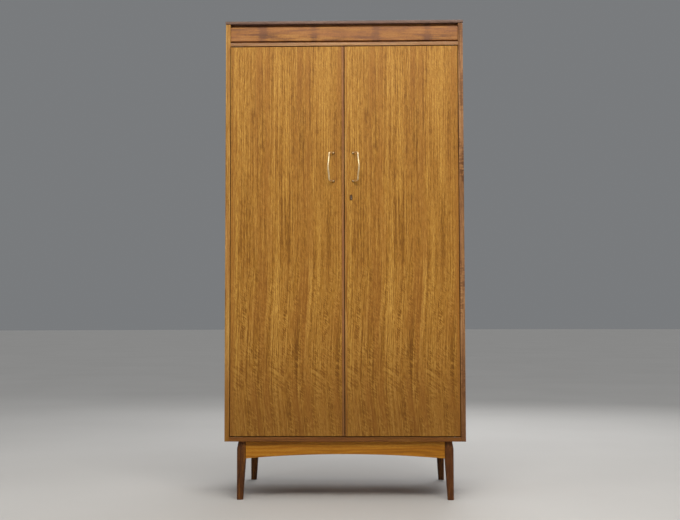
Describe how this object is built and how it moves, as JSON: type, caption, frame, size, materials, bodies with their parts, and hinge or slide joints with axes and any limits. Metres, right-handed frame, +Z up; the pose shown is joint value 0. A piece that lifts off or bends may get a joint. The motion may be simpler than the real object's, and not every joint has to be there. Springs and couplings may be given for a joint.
{
  "type": "wardrobe",
  "caption": "Free-standing wardrobe with a pair of hinged doors, hanging rail and hat shelf, on a separate tapered-leg stand.",
  "frame": {"origin": "on the floor, under the centre of the whole bounding box, handles included", "axes": "+X to the right seen from the front, +Y to the back (the doors face -Y), +Z up"},
  "size_m": [0.918, 0.5975, 1.836],
  "materials": {
    "door_veneer": "satin-lacquered golden veneer, straight vertical grain with a fine fleck",
    "side_veneer": "satin-lacquered veneer",
    "solid_wood": "satin-lacquered solid hardwood lipping",
    "leg_wood": "darker stained and lacquered hardwood",
    "apron_wood": "lacquered hardwood, horizontal grain",
    "dark_top": "dark brown edged veneer",
    "plywood": "plain unpolished ply",
    "brass": "polished brass, slightly aged",
    "steel": "plated steel"
  },
  "bodies": {
    "carcass": {"left_side": "side_veneer", "right_side": "side_veneer", "left_side_lipping": "solid_wood", "right_side_lipping": "solid_wood", "top_board": "dark_top", "head_panel": "solid_wood", "fascia": "side_veneer", "bottom_board": "side_veneer", "back_panel": "plywood", "left_door_stop": "solid_wood", "right_door_stop": "solid_wood", "hat_shelf": "plywood", "left_shelf_batten": "solid_wood", "right_shelf_batten": "solid_wood", "hanging_rail": "steel", "left_rail_socket": "steel", "right_rail_socket": "steel", "front_left_leg": "leg_wood", "front_right_leg": "leg_wood", "rear_left_leg": "leg_wood", "rear_right_leg": "leg_wood", "front_apron": "apron_wood", "rear_apron": "apron_wood", "left_stand_rail": "apron_wood", "right_stand_rail": "apron_wood", "front_left_corner_block": "apron_wood", "front_right_corner_block": "apron_wood", "rear_left_corner_block": "apron_wood", "rear_right_corner_block": "apron_wood", "front_left_stand_screw": "steel", "front_right_stand_screw": "steel", "rear_left_stand_screw": "steel", "rear_right_stand_screw": "steel", "left_upper_hinge_pin_plate": "steel", "left_lower_hinge_pin_plate": "steel", "right_upper_hinge_pin_plate": "steel", "right_lower_hinge_pin_plate": "steel"},
    "left_leaf": {"left_door": "door_veneer", "left_meeting_lipping": "solid_wood", "left_handle": "brass", "left_handle_upper_screw": "steel", "left_handle_lower_screw": "steel", "left_upper_hinge_bush_plate": "steel", "left_lower_hinge_bush_plate": "steel", "strike_plate": "brass", "upper_bolt_plate": "brass", "lower_bolt_plate": "brass"},
    "right_leaf": {"right_door": "door_veneer", "right_meeting_lipping": "solid_wood", "right_handle": "brass", "right_handle_upper_screw": "steel", "right_handle_lower_screw": "steel", "right_upper_hinge_bush_plate": "steel", "right_lower_hinge_bush_plate": "steel", "lock_case": "steel", "keyhole_escutcheon": "brass"},
    "lock_tongue": {"lock_bolt": "brass"},
    "upper_shoot_bolt": {"upper_bolt": "brass"},
    "lower_shoot_bolt": {"lower_bolt": "brass"}
  },
  "joints": [
    {"name": "left_door_swing", "type": "hinge", "parent": "carcass", "child": "left_leaf", "pos_m": [-0.417, -0.2632, 0.988], "axis": [0, 0, -1], "range_deg": [0, 110]},
    {"name": "right_door_swing", "type": "hinge", "parent": "carcass", "child": "right_leaf", "pos_m": [0.417, -0.2632, 0.988], "axis": [0, 0, 1], "range_deg": [0, 110]},
    {"name": "lock_bolt_slide", "type": "slide", "parent": "right_leaf", "child": "lock_tongue", "axis": [-1, 0, 0], "range_m": [0, 0.009]},
    {"name": "upper_bolt_slide", "type": "slide", "parent": "left_leaf", "child": "upper_shoot_bolt", "axis": [0, 0, 1], "range_m": [0, 0.012]},
    {"name": "lower_bolt_slide", "type": "slide", "parent": "left_leaf", "child": "lower_shoot_bolt", "axis": [0, 0, -1], "range_m": [0, 0.012]}
  ]
}
